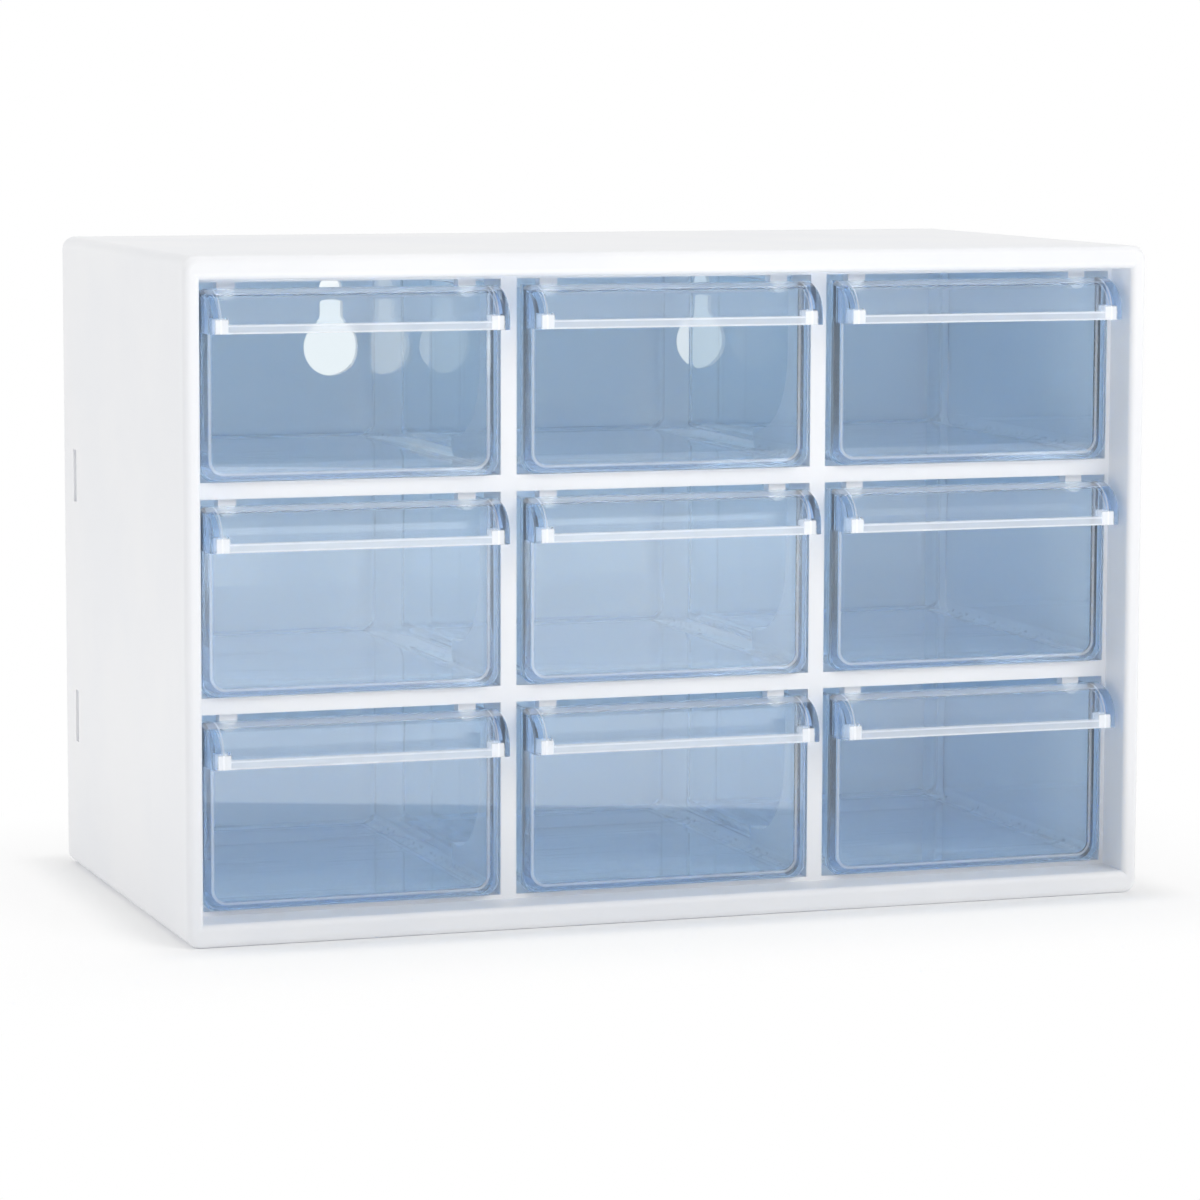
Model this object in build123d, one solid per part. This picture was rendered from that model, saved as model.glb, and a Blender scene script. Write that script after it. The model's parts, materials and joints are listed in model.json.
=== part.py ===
"""Desktop organizer: a moulded cabinet with a grid of small clear drawers.

Sizes are in millimetres. +Z is up and the drawers pull out towards -Y. The origin is the centre
of the footprint, on the surface that the cabinet stands on. A depth is measured back from the
plane of the front rim.
"""
import os

from build123d import *

# The grid of cells, bottom row first
ROW_NAMES = ("bottom", "middle", "top")
COLUMN_NAMES = ("left", "centre", "right")
cell_width = 56.8
cell_height = 35.3
post_width = 3.0
shelf_thickness = 3.0
front_recess = 9.0
shelf_depth = 27.5
post_depth = 10.0
rail_height = 5.3
rail_curve_radius = 15.0

# The shell round the grid
shell_depth = 96.0
side_wall = 3.0
end_wall = 4.2
cell_step = 0.8
rear_wall = 2.2
long_edge_radius = 2.4
rim_outer_radius = 1.4
rim_inner_radius = 1.2
cavity_corner_radius = 1.6

# Stop lugs that hang from the top of each cell
lug_width = 3.3
lug_drop = 3.1
lug_depth = 2.5
lug_setback = 0.6
lug_spacing = 44.4

# Back panel
panel_fit = 0.2
panel_inset = 0.5
panel_thickness = 2.0
skirt_depth = 8.0
skirt_wall = 1.6
keyhole_spacing = 78.6
keyhole_below_top = 22.0
keyhole_head_radius = 5.6
keyhole_slot_width = 4.7
keyhole_slot_rise = 11.5
keyhole_flare_radius = 4.0

# Snap slots in the side walls, at two heights on the left and turned half round on the right
snap_low = 30.0
snap_high = 76.5
snap_from_rear = 9.0
snap_slot_height = 10.0
snap_slot_width = 2.4
snap_tab_height = 7.6
snap_tab_depth = 1.3
snap_tab_sink = 0.6

# Drawer tray and front
drawer_side_gap = 0.8
drawer_top_gap = 1.1
runner_gap = 0.25
stop_gap = 0.3
front_thickness = 1.5
front_corner_radius = 2.5
front_edge_chamfer = 0.35
tray_inset = 0.6
tray_wall = 1.3
tray_floor = 1.4
tray_rim_drop = 0.6
tray_edge_radius = 3.4
tray_corner_radius = 4.3
tray_least_inner_radius = 0.4
rear_bearing = 2.0

# Cup pull along the top of the drawer front
pull_setback = 0.6
pull_height = 7.6
pull_wall = 1.3
pull_cheek = 1.1
pull_bar_height = 1.5
pull_bar_thickness = 1.8
pull_block_length = 2.7
pull_block_rise = 1.25
pull_block_thickness = 2.8
pull_end_chamfer = 0.45

# Sizes that follow from the ones above
columns = len(COLUMN_NAMES)
rows = len(ROW_NAMES)
column_pitch = cell_width + post_width
row_pitch = cell_height + shelf_thickness
grid_width = columns * column_pitch - post_width
grid_height = rows * row_pitch - shelf_thickness
shell_width = grid_width + 2 * (cell_step + side_wall)
shell_height = grid_height + 2 * (cell_step + end_wall)
grid_floor = end_wall + cell_step
cavity_width = shell_width - 2 * rear_wall
cavity_height = shell_height - 2 * rear_wall
plate_depth = shell_depth - panel_inset - panel_thickness
skirt_front = plate_depth - skirt_depth

front_width = cell_width - 2 * drawer_side_gap
front_height = cell_height - drawer_top_gap - runner_gap
front_back_face = front_recess + lug_setback - stop_gap
front_face = front_back_face - front_thickness
tray_width = front_width - 2 * tray_inset
tray_height = front_height - tray_rim_drop
tray_end = skirt_front + rear_bearing
pull_reach = front_face - pull_setback
pull_curve_drop = pull_height - pull_bar_height

# Overlap that makes a union or a cut run clean through its face
bite = 0.5

# Most of a wall's thickness that a rounding or a chamfer may take
rounding_share = 0.45


def from_rim(depth):
    """Y of a plane at this depth behind the front rim."""
    return depth - shell_depth / 2


def column_x(column):
    """Middle of a column of cells."""
    return (column - (columns - 1) / 2) * column_pitch


def row_z(row):
    """Floor of a row of cells."""
    return grid_floor + row * row_pitch


def block(x_span, depth_span, z_span):
    """Box between two corners, with depths measured from the front rim."""
    size = [high - low for low, high in (x_span, depth_span, z_span)]
    centre = [(low + high) / 2 for low, high in (x_span, depth_span, z_span)]
    return Pos(centre[0], from_rim(centre[1]), centre[2]) * Box(*size)


def across(half_width):
    """Span of X that is centred on the cabinet."""
    return (-half_width, half_width)


def along_depth(outline, depth_span):
    """Carry an outline drawn in X and Z straight back over a span of depth."""
    start, end = depth_span
    return extrude(Plane.XZ.offset(-from_rim(end)) * outline, amount=end - start)


def along_width(outline, x_span):
    """Carry an outline drawn in Y and Z sideways over a span of X."""
    start, end = x_span
    return extrude(Plane.YZ.offset(start) * outline, amount=end - start)


def upright_rectangle(width, height, radius):
    """Rounded outline of the cabinet's height, centred on its middle."""
    return Pos(0, shell_height / 2) * RectangleRounded(width, height, radius)


def snap_places():
    """Side (-1 left, 1 right) and height of each snap."""
    left = [(-1, snap_low), (-1, snap_high)]
    right = [(1, shell_height - height) for side, height in left]
    return left + right


def outer_body():
    """Closed block of the cabinet with its long edges and its front edge rounded."""
    body = block(across(shell_width / 2), (0, shell_depth), (0, shell_height))
    body = fillet(body.edges().filter_by(Axis.Y), long_edge_radius)
    front_edges = body.faces().sort_by(Axis.Y)[0].edges()
    return fillet(front_edges, min(rim_outer_radius, rounding_share * side_wall))


def front_opening(body):
    """Cut the recess behind the rim and round the rim's inner edge."""
    mouth = across(shell_width / 2 - side_wall)
    body -= block(mouth, (-bite, front_recess), (end_wall, shell_height - end_wall))
    rim = body.faces().sort_by(Axis.Y)[0]
    return fillet(rim.inner_wires()[0].edges(), min(rim_inner_radius, rounding_share * side_wall))


def cell_cuts():
    """The cells between the posts, and the open rows behind the posts."""
    post_back = front_recess + post_depth
    shelf_back = front_recess + shelf_depth
    cuts = []
    for row in range(rows):
        z_span = (row_z(row), row_z(row) + cell_height)
        cuts.append(block(across(grid_width / 2), (post_back, shelf_back + bite), z_span))
        for column in range(columns):
            x_span = (column_x(column) - cell_width / 2, column_x(column) + cell_width / 2)
            cuts.append(block(x_span, (front_recess - bite, post_back + bite), z_span))
    return cuts


def rear_cavity():
    """Open rear of the shell, out to its thin walls."""
    outline = upright_rectangle(cavity_width, cavity_height, cavity_corner_radius)
    return along_depth(outline, (front_recess + shelf_depth, shell_depth + bite))


def guide_rail():
    """Rail behind one post: a low bar that sweeps up into the post's back in a concave curve."""
    back = from_rim(front_recess + shelf_depth)
    post_back = from_rim(front_recess + post_depth)
    curve_top = rail_height + rail_curve_radius
    curve_centre = (post_back + rail_curve_radius, curve_top)
    edges = [
        Line((post_back - bite, -bite), (back, -bite)),
        Line((back, -bite), (back, rail_height)),
        Line((back, rail_height), (curve_centre[0], rail_height)),
        CenterArc(curve_centre, rail_curve_radius, 180, 90),
        Line((post_back, curve_top), (post_back - bite, curve_top)),
        Line((post_back - bite, curve_top), (post_back - bite, -bite)),
    ]
    return along_width(make_face(edges), across(post_width / 2))


def stop_lug():
    """Round-ended lug below Z = 0, which is the top of its cell."""
    tip = lug_width / 2
    outline = Pos(0, (bite - lug_drop + tip) / 2) * Rectangle(lug_width, lug_drop - tip + bite)
    outline += Pos(0, tip - lug_drop) * Circle(tip)
    start = front_recess + lug_setback
    return along_depth(outline, (start, start + lug_depth))


def snap_slot():
    """Cutter for one narrow upright slot."""
    middle = shell_depth - snap_from_rear
    depth_span = (middle - snap_slot_width / 2, middle + snap_slot_width / 2)
    return block(across(rear_wall + bite), depth_span, across(snap_slot_height / 2))


def cabinet_shell():
    shell = front_opening(outer_body())
    shell = shell - cell_cuts() - rear_cavity()
    moulded_on = []
    for row in range(rows):
        for gap in range(columns - 1):
            post_x = (column_x(gap) + column_x(gap + 1)) / 2
            moulded_on.append(Pos(post_x, 0, row_z(row)) * guide_rail())
        for column in range(columns):
            for side in (-1, 1):
                lug_x = column_x(column) + side * lug_spacing / 2
                moulded_on.append(Pos(lug_x, 0, row_z(row) + cell_height) * stop_lug())
    slots = [Pos(side * shell_width / 2, 0, height) * snap_slot() for side, height in snap_places()]
    return shell + moulded_on - slots


def keyhole():
    """Outline of one keyhole about its round head, with the slot flared into the head."""
    slot = Pos(0, keyhole_slot_rise / 2) * Rectangle(keyhole_slot_width, keyhole_slot_rise)
    outline = Circle(keyhole_head_radius) + slot
    necks = outline.vertices().group_by(Axis.Y)[-2]
    outline = fillet(necks, keyhole_flare_radius)
    return outline + Pos(0, keyhole_slot_rise) * Circle(keyhole_slot_width / 2)


def snap_tab():
    """Tab that fills the rear of its slot and stops short of the outer face, on the right side."""
    reach = shell_width / 2 - snap_tab_sink
    slot_back = shell_depth - snap_from_rear + snap_slot_width / 2
    depth_span = (slot_back - panel_fit - snap_tab_depth, slot_back - panel_fit)
    root = cavity_width / 2 - panel_fit - bite
    return block((root, reach), depth_span, across(snap_tab_height / 2))


def back_panel():
    plate_width = cavity_width - 2 * panel_fit
    plate_height = cavity_height - 2 * panel_fit
    plate = upright_rectangle(plate_width, plate_height, cavity_corner_radius)
    panel = along_depth(plate, (skirt_front, shell_depth - panel_inset))

    inside = across(plate_width / 2 - skirt_wall)
    skirt_span = (skirt_front - bite, plate_depth)
    ceiling = shell_height - rear_wall - panel_fit - skirt_wall
    for row in range(rows):
        top = row_z(row) + cell_height if row < rows - 1 else ceiling
        panel -= block(inside, skirt_span, (row_z(row), top))

    head_z = shell_height - keyhole_below_top
    for side in (-1, 1):
        outline = Pos(side * keyhole_spacing / 2, head_z) * keyhole()
        panel -= along_depth(outline, (plate_depth - bite, shell_depth))
    for side, height in snap_places():
        tab = snap_tab()
        if side < 0:
            tab = mirror(tab, Plane.YZ)
        panel += Pos(0, 0, height) * tab
    return panel


def tray_block(inset, depth_start, z_span, edge_radius, corner_radius):
    """Block with rounded lower side edges, a rounded lower rear edge and rounded rear corners."""
    width = tray_width - 2 * inset
    depth_span = (depth_start, tray_end - inset)
    length = depth_span[1] - depth_span[0]
    height = z_span[1] - z_span[0]
    middle_y = from_rim(sum(depth_span) / 2)
    middle_z = sum(z_span) / 2

    front_view = Pos(0, middle_z) * Rectangle(width, height)
    front_view = fillet(front_view.vertices().group_by(Axis.Y)[0], edge_radius)
    side_view = Pos(middle_y, middle_z) * Rectangle(length, height)
    low_rear = side_view.vertices().group_by(Axis.Y)[0].sort_by(Axis.X)[-1]
    side_view = fillet(low_rear, edge_radius)
    plan = Pos(0, middle_y) * Rectangle(width, length)
    plan = fillet(plan.vertices().group_by(Axis.Y)[-1], corner_radius)

    upright = Pos(0, 0, z_span[0]) * extrude(plan, amount=height)
    return upright & along_depth(front_view, depth_span) & along_width(side_view, across(width / 2))


def drawer_tray():
    """Open tray on Z = 0, joined to the front panel's back."""
    outer = tray_block(0, front_face, (0, tray_height), tray_edge_radius, tray_corner_radius)
    inner_edge = max(tray_edge_radius - tray_wall, tray_least_inner_radius)
    inner_corner = max(tray_corner_radius - tray_wall, tray_least_inner_radius)
    hollow_span = (tray_floor, tray_height + bite)
    return outer - tray_block(tray_wall, front_back_face, hollow_span, inner_edge, inner_corner)


def drawer_front():
    """Front panel with rounded lower corners and a softened edge round its face."""
    outline = Pos(0, front_height / 2) * Rectangle(front_width, front_height)
    outline = fillet(outline.vertices().group_by(Axis.Y)[0], front_corner_radius)
    panel = along_depth(outline, (front_face, front_back_face))
    face_edges = panel.faces().sort_by(Axis.Y)[0].edges().sort_by(Axis.Z)
    return chamfer(face_edges[:-1], min(front_edge_chamfer, rounding_share * front_thickness))


def pull_curve(reach, drop):
    """Quarter ellipse from the front panel out and down to the bar."""
    centre = (from_rim(front_face), front_height - pull_curve_drop)
    return EllipticalCenterArc(centre, reach, drop, 90, arc_size=90)


def cup_pull():
    """Hood along the top of the front: a curved roof, closed cheeks, and a bar with blocks at its ends."""
    wall_y = from_rim(front_face) + bite
    nose_y = from_rim(pull_setback)
    bar_back_y = nose_y + pull_bar_thickness
    bar_top = front_height - pull_curve_drop
    bar_bottom = front_height - pull_height
    roof = pull_curve(pull_reach, pull_curve_drop)
    lining = pull_curve(pull_reach - pull_wall, pull_curve_drop - pull_wall)
    lining_y = nose_y + pull_wall
    panel_y = from_rim(front_face)
    half_width = front_width / 2
    inner_half = half_width - pull_cheek

    hood = make_face([
        roof,
        Line((nose_y, bar_top), (nose_y, bar_bottom)),
        Line((nose_y, bar_bottom), (bar_back_y, bar_bottom)),
        Line((bar_back_y, bar_bottom), (bar_back_y, bar_top)),
        Line((bar_back_y, bar_top), (lining_y, bar_top)),
        lining,
        Line((panel_y, front_height - pull_wall), (wall_y, front_height - pull_wall)),
        Line((wall_y, front_height - pull_wall), (wall_y, front_height)),
        Line((wall_y, front_height), (panel_y, front_height)),
    ])
    cheek = make_face([
        roof,
        Line((nose_y, bar_top), (nose_y, bar_bottom)),
        Line((nose_y, bar_bottom), (wall_y, bar_bottom)),
        Line((wall_y, bar_bottom), (wall_y, front_height)),
        Line((wall_y, front_height), (panel_y, front_height)),
    ])
    block_start = pull_setback + pull_wall / 2
    block_end = pull_setback + pull_block_thickness
    block_height = pull_bar_height + pull_block_rise
    block_centre = (from_rim((block_start + block_end) / 2), bar_bottom + block_height / 2)
    blocked_hood = hood + Pos(*block_centre) * Rectangle(block_end - block_start, block_height)

    plain_half = inner_half - pull_block_length
    pull = along_width(hood, across(plain_half))
    for side in (-1, 1):
        block_span = sorted((side * plain_half, side * inner_half))
        cheek_span = sorted((side * inner_half, side * half_width))
        pull += [along_width(blocked_hood, block_span), along_width(cheek, cheek_span)]
    end_faces = [pull.faces().sort_by(Axis.X)[index] for index in (0, -1)]
    end_edges = [edge for face in end_faces for edge in face.edges() if edge.center().Y < panel_y]
    end_edges = [edge for edge in end_edges if edge.center().Z > bar_bottom]
    return chamfer(end_edges, min(pull_end_chamfer, rounding_share * pull_cheek))


def drawer():
    return drawer_tray() + drawer_front() + cup_pull()


os.makedirs("parts", exist_ok=True)
export_step(cabinet_shell(), "parts/cabinet_shell.step")
export_step(back_panel(), "parts/back_panel.step")
one_drawer = drawer()
for row, row_name in enumerate(ROW_NAMES):
    for column, column_name in enumerate(COLUMN_NAMES):
        place = Pos(column_x(column), 0, row_z(row) + runner_gap)
        export_step(place * one_drawer, f"parts/drawer_{row_name}_{column_name}.step")
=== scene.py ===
"""Looks for a desktop organizer: a white moulded cabinet with nine clear blue drawers."""
import json

import bpy
from mathutils import Matrix, Vector

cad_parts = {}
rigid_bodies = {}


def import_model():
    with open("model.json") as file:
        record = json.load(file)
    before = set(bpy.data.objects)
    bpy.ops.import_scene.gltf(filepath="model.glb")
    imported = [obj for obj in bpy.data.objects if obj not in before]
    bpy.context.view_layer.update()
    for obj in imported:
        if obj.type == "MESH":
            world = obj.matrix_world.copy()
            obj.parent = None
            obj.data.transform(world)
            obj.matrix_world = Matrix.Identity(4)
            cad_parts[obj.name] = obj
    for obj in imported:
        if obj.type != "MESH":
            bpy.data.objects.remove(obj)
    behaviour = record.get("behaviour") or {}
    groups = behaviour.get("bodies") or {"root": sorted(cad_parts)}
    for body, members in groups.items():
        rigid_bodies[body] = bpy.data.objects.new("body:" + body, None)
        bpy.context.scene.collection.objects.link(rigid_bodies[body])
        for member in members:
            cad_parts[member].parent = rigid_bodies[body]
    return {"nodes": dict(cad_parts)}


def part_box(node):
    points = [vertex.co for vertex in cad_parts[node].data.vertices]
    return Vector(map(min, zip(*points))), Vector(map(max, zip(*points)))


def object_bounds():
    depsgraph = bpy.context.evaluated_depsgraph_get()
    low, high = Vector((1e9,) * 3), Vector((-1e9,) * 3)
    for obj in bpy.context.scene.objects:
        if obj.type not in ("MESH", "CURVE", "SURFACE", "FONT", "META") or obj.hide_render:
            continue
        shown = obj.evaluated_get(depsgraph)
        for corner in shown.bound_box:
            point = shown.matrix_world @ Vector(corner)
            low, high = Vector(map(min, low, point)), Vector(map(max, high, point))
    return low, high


for stray in list(bpy.data.objects):
    bpy.data.objects.remove(stray)

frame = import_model()
cad_low, cad_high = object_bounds()
scene = bpy.context.scene
scene.view_settings.view_transform = "Standard"

# Light passes in and out through many clear walls, so paths are long and nothing blurs them
CLEAR_BOUNCES = 160
SOLID_BOUNCES = 40
scene.cycles.max_bounces = CLEAR_BOUNCES
scene.cycles.transmission_bounces = CLEAR_BOUNCES
scene.cycles.diffuse_bounces = SOLID_BOUNCES
scene.cycles.glossy_bounces = SOLID_BOUNCES
scene.cycles.blur_glossy = 0.0

MM_PER_M = 1000.0
DRAWERS = [name for name in frame["nodes"] if name.startswith("drawer_")]

# One drawer's place and the pitch of the grid, in millimetres
middle_low, middle_high = [Vector(corner) * MM_PER_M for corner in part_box("drawer_middle_centre")]
right_low = Vector(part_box("drawer_middle_right")[0]) * MM_PER_M
top_low = Vector(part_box("drawer_top_centre")[0]) * MM_PER_M
column_pitch = right_low.x - middle_low.x
row_pitch = top_low.z - middle_low.z
drawer_height = middle_high.z - middle_low.z

# Places on one drawer, in millimetres: heights above its underside, depths behind the nose of its
# pull, and distances from its middle
BAR_FOOT, BAR_TOP, BAR_BACK, BAR_END = 26.3, 27.9, 2.25, 26.5
BLOCK_TOP, BLOCK_BACK, BLOCK_START, BLOCK_END = 28.9, 3.25, 24.0, 26.4
CHEEK_START, CHEEK_END = 25.2, 25.5
HOOD_TOP = 33.2
PANEL_FRONT, PANEL_CHAMFER = 7.0, 0.5
PANEL_SIDE = 27.3
RIM_START, RIM_TOP = 23.1, 3.8
TRAY_SIDE = 25.95
TRAY_FLOOR_UNDERSIDE, TRAY_FLOOR_MIDDLE, TRAY_FLOOR_TOP = 0.3, 1.15, 1.85
MIRROR_DEPTH, MIRROR_FADE = 15.0, 5.0

# Colours
WHITE_COOL = (0.88, 0.89, 0.915, 1)
WHITE_WARM = (0.91, 0.915, 0.93, 1)
DUST_GREY = (0.45, 0.44, 0.42, 1)
CLEAR_BLUE = (0.93, 0.976, 1.0, 1)
EDGE_BLUE = (0.40, 0.62, 0.90, 1)
SPECK_GREY = (0.35, 0.40, 0.46, 1)
HOOD_CLEAR = (0.93, 0.96, 0.985, 1)
# Painted shade for the hood's cheeks
CHEEK_SHADE_BLUE = (0.62, 0.76, 0.93, 1)
# Painted highlight white for the pull and the panel's rim line
HIGHLIGHT_WHITE = (0.93, 0.95, 0.98, 1)
DULL_BLUE = (0.60, 0.76, 0.94, 1)
FLOOR_WHITE = (0.94, 0.94, 0.94, 1)
PURE_WHITE = (1, 1, 1, 1)

# Indices of refraction: the walls bend light less than solid plastic does, the hood hardly at all
PLASTIC_IOR = 1.5
WALL_IOR = 1.3
HOOD_IOR = 1.08


class Wire:
    """One output socket. Arithmetic between wires and numbers adds Math nodes."""

    def __init__(self, finish, socket):
        self.finish = finish
        self.socket = socket

    def __add__(self, other):
        return self.finish.maths("ADD", self, other)

    def __radd__(self, other):
        return self.finish.maths("ADD", other, self)

    def __sub__(self, other):
        return self.finish.maths("SUBTRACT", self, other)

    def __rsub__(self, other):
        return self.finish.maths("SUBTRACT", other, self)

    def __mul__(self, other):
        return self.finish.maths("MULTIPLY", self, other)

    def __rmul__(self, other):
        return self.finish.maths("MULTIPLY", other, self)

    def __abs__(self):
        return self.finish.maths("ABSOLUTE", self)

    def most(self, other):
        """The larger of two values."""
        return self.finish.maths("MAXIMUM", self, other)

    def wrapped(self, low, high):
        """The value brought into a span that repeats."""
        return self.finish.maths("WRAP", self, high, low)

    def rise(self, low, high):
        """0 below low, 1 above high and a smooth step between; falls where low is above high."""
        return self.finish.add(
            "ShaderNodeMapRange", {"interpolation_type": "SMOOTHSTEP"},
            Value=self, From_Min=low, From_Max=high)

    def above(self, level, blur):
        """1 above a level and 0 below it, with a soft step."""
        return self.rise(level - blur, level + blur)

    def below(self, level, blur):
        """1 below a level and 0 above it, with a soft step."""
        return self.rise(level + blur, level - blur)

    def between(self, low, high, blur):
        """1 inside a span and 0 outside it, with soft ends."""
        return self.above(low, blur) * self.below(high, blur)


class Finish:
    """The node tree of one material or of the world."""

    def __init__(self, tree):
        self.tree = tree
        tree.nodes.clear()

    def add(self, kind, settings=None, out=0, **inputs):
        """Add a node: settings first, then inputs by socket name, or at_0, at_1... by place."""
        node = self.tree.nodes.new(kind)
        for key, value in (settings or {}).items():
            setattr(node, key, value)
        for key, value in inputs.items():
            place = int(key[3:]) if key.startswith("at_") else key.replace("_", " ")
            if isinstance(value, Wire):
                self.tree.links.new(value.socket, node.inputs[place])
            else:
                node.inputs[place].default_value = value
        return Wire(self, node.outputs[out]) if node.outputs else None

    def maths(self, operation, *values):
        inputs = {f"at_{place}": value for place, value in enumerate(values)}
        return self.add("ShaderNodeMath", {"operation": operation}, **inputs)

    def place_mm(self):
        """A point on the piece, in millimetres."""
        place = self.add("ShaderNodeTexCoord", out="Object")
        return self.add("ShaderNodeVectorMath", {"operation": "SCALE"}, at_0=place, Scale=MM_PER_M)

    def axes(self, vector, names="XYZ"):
        return [self.add("ShaderNodeSeparateXYZ", out=name, Vector=vector) for name in names]

    def stretched(self, place, stretch):
        return self.add("ShaderNodeVectorMath", {"operation": "MULTIPLY"}, at_0=place, at_1=stretch)

    def noise(self, place, per_mm, detail=2.0, roughness=0.5):
        return self.add(
            "ShaderNodeTexNoise", out="Fac",
            Vector=place, Scale=per_mm, Detail=detail, Roughness=roughness)

    def blend(self, share, first, second):
        """Mix of two colours."""
        return self.add(
            "ShaderNodeMix", {"data_type": "RGBA"}, out=2, at_0=share, at_6=first, at_7=second)

    def bump(self, height, depth_mm):
        """Normal that is tipped by a height from 0 to 1."""
        return self.add("ShaderNodeBump", Height=height, Distance=depth_mm / MM_PER_M, Strength=1.0)

    def plastic(self, **inputs):
        return self.add("ShaderNodeBsdfPrincipled", **inputs)

    def layered(self, share, under, over):
        """Mix of two shaders."""
        return self.add("ShaderNodeMixShader", at_0=share, at_1=under, at_2=over)

    def close(self, surface):
        """Connect the surface to the material's output."""
        self.add("ShaderNodeOutputMaterial", Surface=surface)


def material_finish(name):
    material = bpy.data.materials.new(name)
    material.use_nodes = True
    return material, Finish(material.node_tree)


def white_plastic():
    """Glossy white moulding: faint clouding, a fine satin grain and a few specks of dust."""
    material, finish = material_finish("white_plastic")
    place = finish.place_mm()
    cloud = finish.noise(place, 0.03, detail=3.0)
    grain = finish.noise(place, 2.2)
    speck = finish.noise(place, 0.55, detail=4.0, roughness=0.7).rise(0.76, 0.79)
    base = finish.blend(cloud.rise(0.35, 0.65), WHITE_COOL, WHITE_WARM)
    base = finish.blend(speck * 0.35, base, DUST_GREY)
    finish.close(finish.plastic(
        Base_Color=base, Roughness=0.30 + 0.08 * cloud, IOR=PLASTIC_IOR,
        Normal=finish.bump(grain, depth_mm=0.0015)))
    return material


def clear_blue_plastic():
    """Clear blue moulding: a scuffed floor, painted blue light at the panel edges and painted
    whitish highlights on the pull.
    """
    material, finish = material_finish("clear_blue_plastic")
    place = finish.place_mm()
    x, y, z = finish.axes(place)
    across = abs(x.wrapped(-column_pitch / 2, column_pitch / 2))
    height = (z - middle_low.z).wrapped(drawer_height - row_pitch, drawer_height)
    depth = y - middle_low.y

    # The pull stands in front of the panel: a thin hood, cheeks, and a bar with a block at each end
    pull = height.above(BAR_FOOT, 0.1) * depth.below(PANEL_FRONT, 0.1)
    cheek = across.rise(CHEEK_START, CHEEK_END)
    bar = height.between(BAR_FOOT, BAR_TOP, 0.12) * depth.below(BAR_BACK, 0.15)
    bar = bar * across.below(BAR_END, 0.1)
    block = height.between(BAR_FOOT, BLOCK_TOP, 0.2) * depth.below(BLOCK_BACK, 0.15)
    block = block * across.between(BLOCK_START, BLOCK_END, 0.2)

    # Pale lines where its edges catch the light
    bar_lines = height.below(BAR_FOOT + 0.3, 0.15) + height.above(BAR_TOP - 0.25, 0.15)
    top_line = pull * height.above(HOOD_TOP, 0.3)
    cheek_line = pull * across.between(CHEEK_START, CHEEK_END, 0.08)

    # Streaks and specks on the floor of the tray
    on_floor = height.below(TRAY_FLOOR_TOP, 0.35)
    lengthwise = finish.stretched(place, (0.02, 0.6, 0.6))
    streak = finish.noise(lengthwise, 1.0, roughness=0.6).rise(0.52, 0.72)
    scuff = streak * on_floor * height.above(TRAY_FLOOR_MIDDLE, 0.15)
    speck = finish.noise(place, 0.3, detail=3.0, roughness=0.65).rise(0.72, 0.76) * on_floor

    # The panel's side edges and the tray's underside get a pale dull blue layer: painted light that
    # lifts the dark bands they show through the clear walls
    dulled_sides = across.above(PANEL_SIDE, 0.1).most(height.below(TRAY_FLOOR_UNDERSIDE, 0.1))

    # Light that runs along the walls leaves at the panel's rim, much bluer, inside a pale line
    face = depth.between(PANEL_FRONT, PANEL_FRONT + PANEL_CHAMFER, 0.1)
    outwards = (across - RIM_START).most(0.0)
    downwards = (RIM_TOP - height).most(0.0)
    rim = finish.maths("SQRT", outwards * outwards + downwards * downwards)
    edge = rim.rise(1.9, 2.6) * face
    rim_line = rim.between(2.35, 2.85, 0.2) * face
    tint = finish.blend(edge * 0.8, CLEAR_BLUE, EDGE_BLUE)
    tint = finish.blend(speck * 0.5, tint, SPECK_GREY)

    # The front and the outer sides mirror as polished plastic does
    mirror = depth.below(MIRROR_DEPTH, MIRROR_FADE).most(across.above(TRAY_SIDE, 0.15))
    wall = finish.plastic(
        Base_Color=tint, Roughness=0.0, IOR=WALL_IOR, Transmission_Weight=1.0,
        Coat_Weight=mirror, Coat_Roughness=0.0, Coat_IOR=PLASTIC_IOR)
    # The hood's cheeks are painted a deeper blue: painted shade where a cheek is seen edge-on
    hood = finish.plastic(
        Base_Color=finish.blend(cheek, HOOD_CLEAR, CHEEK_SHADE_BLUE),
        Roughness=0.0, IOR=HOOD_IOR, Transmission_Weight=1.0)
    # A whitish layer that paints highlights in place of light the clear plastic sends back
    painted_highlight = finish.plastic(Base_Color=HIGHLIGHT_WHITE, Roughness=0.25, IOR=PLASTIC_IOR)
    dull = finish.plastic(Base_Color=DULL_BLUE, Roughness=0.4, IOR=PLASTIC_IOR)

    # Pale dull blue: painted light over the panel's rim and over its sides and underside, and the
    # floor's scuffs
    dull_share = 0.14 * edge + 0.2 * dulled_sides + 0.2 * scuff
    # Painted highlight shares: the bar and its edge lines, the hood's top edge, the whole pull
    # faintly, the end blocks, the cheek edges and the rim line
    pull_highlight_share = bar * (0.28 + 0.32 * bar_lines) + 0.3 * top_line + 0.07 * pull
    highlight_share = pull_highlight_share.most(block * 0.85) + 0.3 * cheek_line + 0.32 * rim_line
    clear = finish.layered(dull_share, finish.layered(pull, wall, hood), dull)
    finish.close(finish.layered(highlight_share, clear, painted_highlight))
    return material


white = white_plastic()
clear_blue = clear_blue_plastic()
for name, node in frame["nodes"].items():
    node.data.materials.clear()
    node.data.materials.append(clear_blue if name in DRAWERS else white)


def show(name, data):
    thing = bpy.data.objects.new(name, data)
    scene.collection.objects.link(thing)
    return thing


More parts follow.
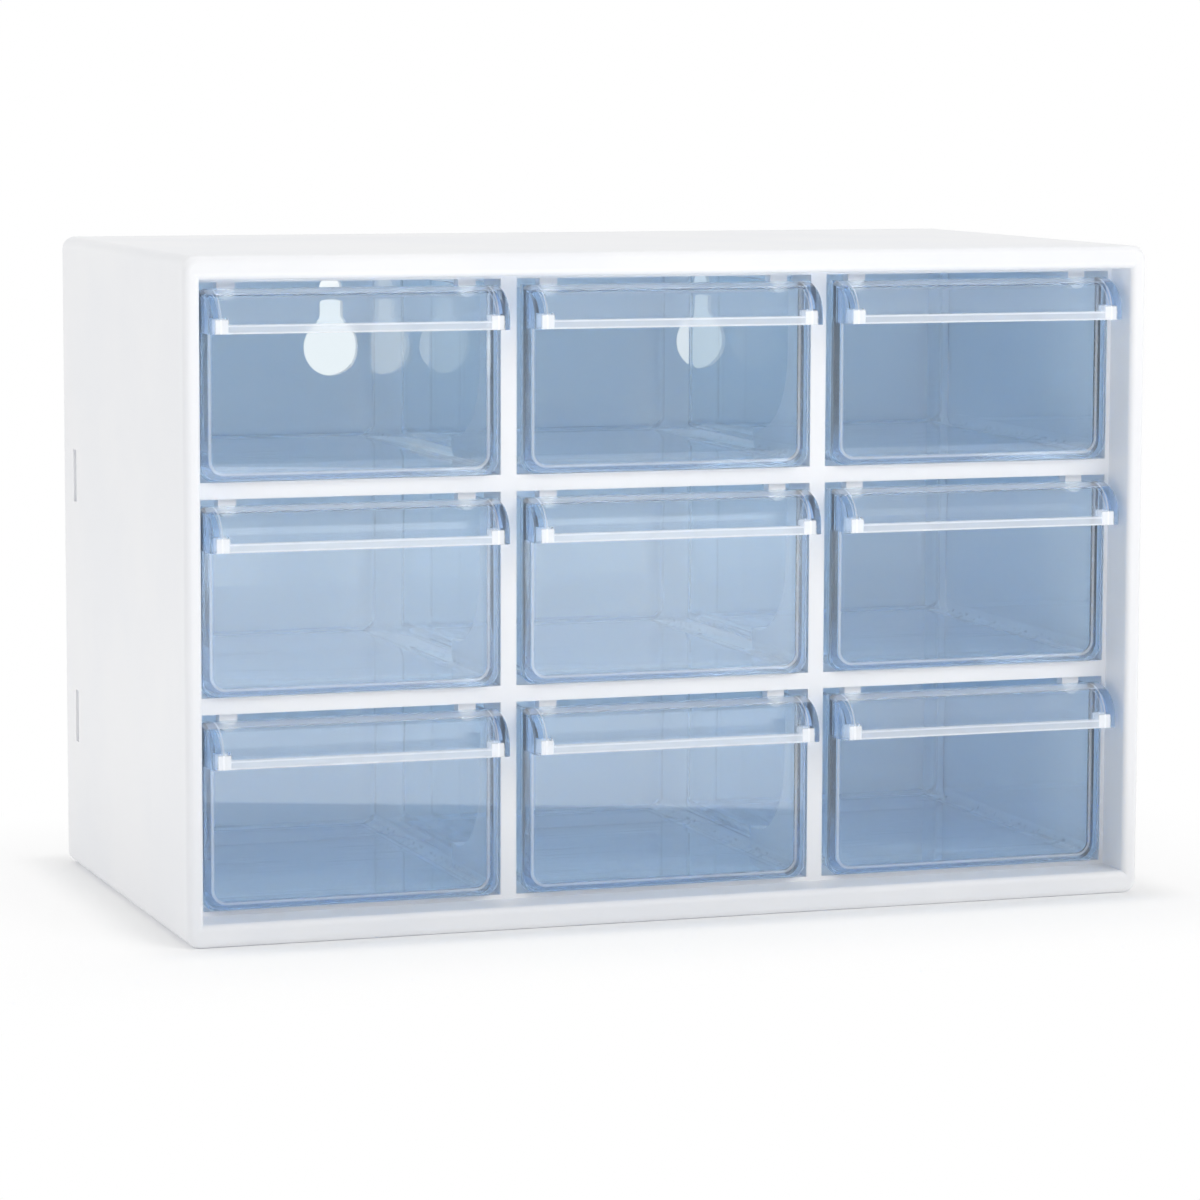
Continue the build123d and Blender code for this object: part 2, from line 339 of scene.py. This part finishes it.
# Camera where the photograph was taken from
CAMERA_PLACE = (-0.28438, -0.82306, 0.15417)
CAMERA_RIGHT = Vector((0.94488674, -0.32738465, 0.00288883))
CAMERA_UP = Vector((0.03486345, 0.10938735, 0.99338761))
camera_data = bpy.data.cameras.new("camera")
camera_data.sensor_width = 36
camera_data.lens = 137.77
camera = show("camera", camera_data)
camera_axes = Matrix((CAMERA_RIGHT, CAMERA_UP, CAMERA_RIGHT.cross(CAMERA_UP))).transposed()
camera.matrix_world = Matrix.Translation(CAMERA_PLACE) @ camera_axes.to_4x4()
scene.camera = camera


def seen_white(finish, backdrop):
    """1 for what the camera sees straight, and for the backdrop in gloss or through plastic."""
    straight, gloss, through = [
        finish.add("ShaderNodeLightPath", out=f"Is {kind} Ray")
        for kind in ("Camera", "Glossy", "Transmission")]
    return straight.most(backdrop * gloss.most(through))


# Pale floor that fades into the white backdrop and ends short of the camera
FLOOR_HALF = 4.0
FLOOR_FRONT = -1.0
floor_mesh = bpy.data.meshes.new("floor")
floor_mesh.from_pydata(
    [(-FLOOR_HALF, FLOOR_FRONT, 0), (FLOOR_HALF, FLOOR_FRONT, 0),
     (FLOOR_HALF, FLOOR_HALF, 0), (-FLOOR_HALF, FLOOR_HALF, 0)], [], [(0, 1, 2, 3)])
show("floor", floor_mesh)

# Its white is laid thinner close to the cabinet, which leaves the shadow there
TOUCH_REACH, NEAR_REACH = 12, 60
BACKDROP_FADE = 200
floor_material, finish = material_finish("floor")
floor_mesh.materials.append(floor_material)
x, y = finish.axes(finish.place_mm(), "XY")
far_x, far_y = MM_PER_M * cad_high[0], MM_PER_M * cad_high[1]
touch, near = [
    abs(x).rise(far_x + reach, far_x) * abs(y).rise(far_y + reach, far_y)
    for reach in (TOUCH_REACH, NEAR_REACH)]
matt = finish.add("ShaderNodeBsdfDiffuse", Color=FLOOR_WHITE)
glow = finish.add("ShaderNodeEmission", Color=PURE_WHITE, Strength=1.0)
glow_share = seen_white(finish, y.rise(0, BACKDROP_FADE)) * (1 - 0.72 * touch - 0.28 * near)
finish.close(finish.layered(glow_share, matt, glow))

# World: even white light, and a white backdrop where it is seen, through clear plastic as well
WORLD_LIGHT = 0.54
world = bpy.data.worlds.new("studio")
scene.world = world
world.use_nodes = True
finish = Finish(world.node_tree)
behind, tilt = finish.axes(finish.add("ShaderNodeTexCoord", out="Generated"), "YZ")
backdrop = behind.rise(-0.1, 0.2) * abs(tilt).rise(0.3, 0.1)
strength = WORLD_LIGHT + (1 - WORLD_LIGHT) * seen_white(finish, backdrop)
sky = finish.add("ShaderNodeBackground", Color=PURE_WHITE, Strength=strength)
finish.add("ShaderNodeOutputWorld", Surface=sky)


def soft_box(name, place, power, size, aim=(0, 0, 0.06), roll=0.0, mirrored=False):
    """Rectangular lamp at a place, facing a point; only a mirrored one shows in gloss."""
    data = bpy.data.lights.new(name, "AREA")
    data.shape = "RECTANGLE"
    data.energy = power
    data.size, data.size_y = size
    turn = (Vector(aim) - Vector(place)).to_track_quat("-Z", "Y")
    lamp = show(name, data)
    lamp.matrix_world = (
        Matrix.Translation(place) @ turn.to_matrix().to_4x4() @ Matrix.Rotation(roll, 4, "Z"))
    lamp.visible_camera = False
    lamp.visible_glossy = mirrored


soft_box("key", (0.72, -1.15, 0.95), 8.2, (0.9, 0.9))
soft_box("overhead", (0.0, 0.35, 1.6), 6.9, (1.2, 1.2))
soft_box("left_fill", (-1.4, 0.3, 0.8), 5.3, (1.0, 1.0))

# White card on the table that the drawers mirror, clear of them when they are open. It is turned so
# that its right edge shows at the post between the centre and right columns
CARD_TURN = -0.384
soft_box(
    "white_card", (0.081, -0.561, 0.002), 0.83, (0.30, 0.809), aim=(0.081, -0.561, 1),
    roll=CARD_TURN, mirrored=True)
